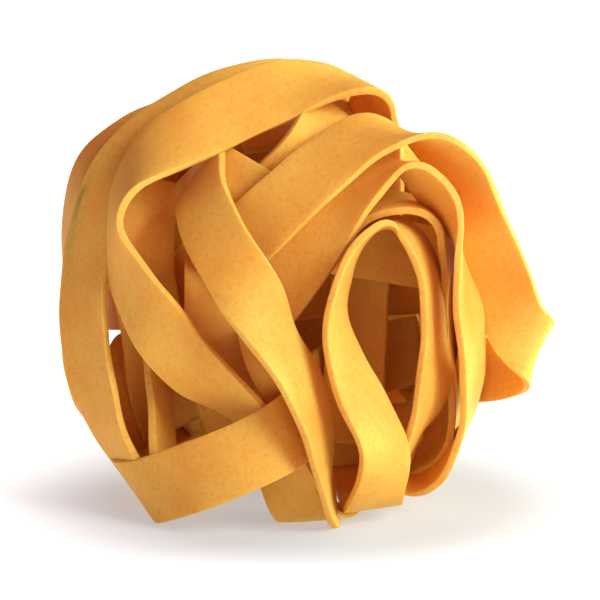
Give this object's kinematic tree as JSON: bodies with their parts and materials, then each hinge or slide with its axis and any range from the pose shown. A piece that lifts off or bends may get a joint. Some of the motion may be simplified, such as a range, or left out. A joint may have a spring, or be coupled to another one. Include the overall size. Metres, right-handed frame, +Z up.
{
  "type": "dry pasta nest",
  "caption": "Nest of dry flat ribbon pasta, coiled into a loose round bundle with open loops at the front.",
  "frame": {"origin": "centre of the bounding box on the floor the nest stands on", "axes": "+Z up, the open front of the nest faces -Y, leaning back"},
  "size_m": [0.0714, 0.0562, 0.0656],
  "materials": {
    "pasta": "dry, floury satin"
  },
  "bodies": {
    "root": {"nest": "pasta"}
  },
  "joints": []
}
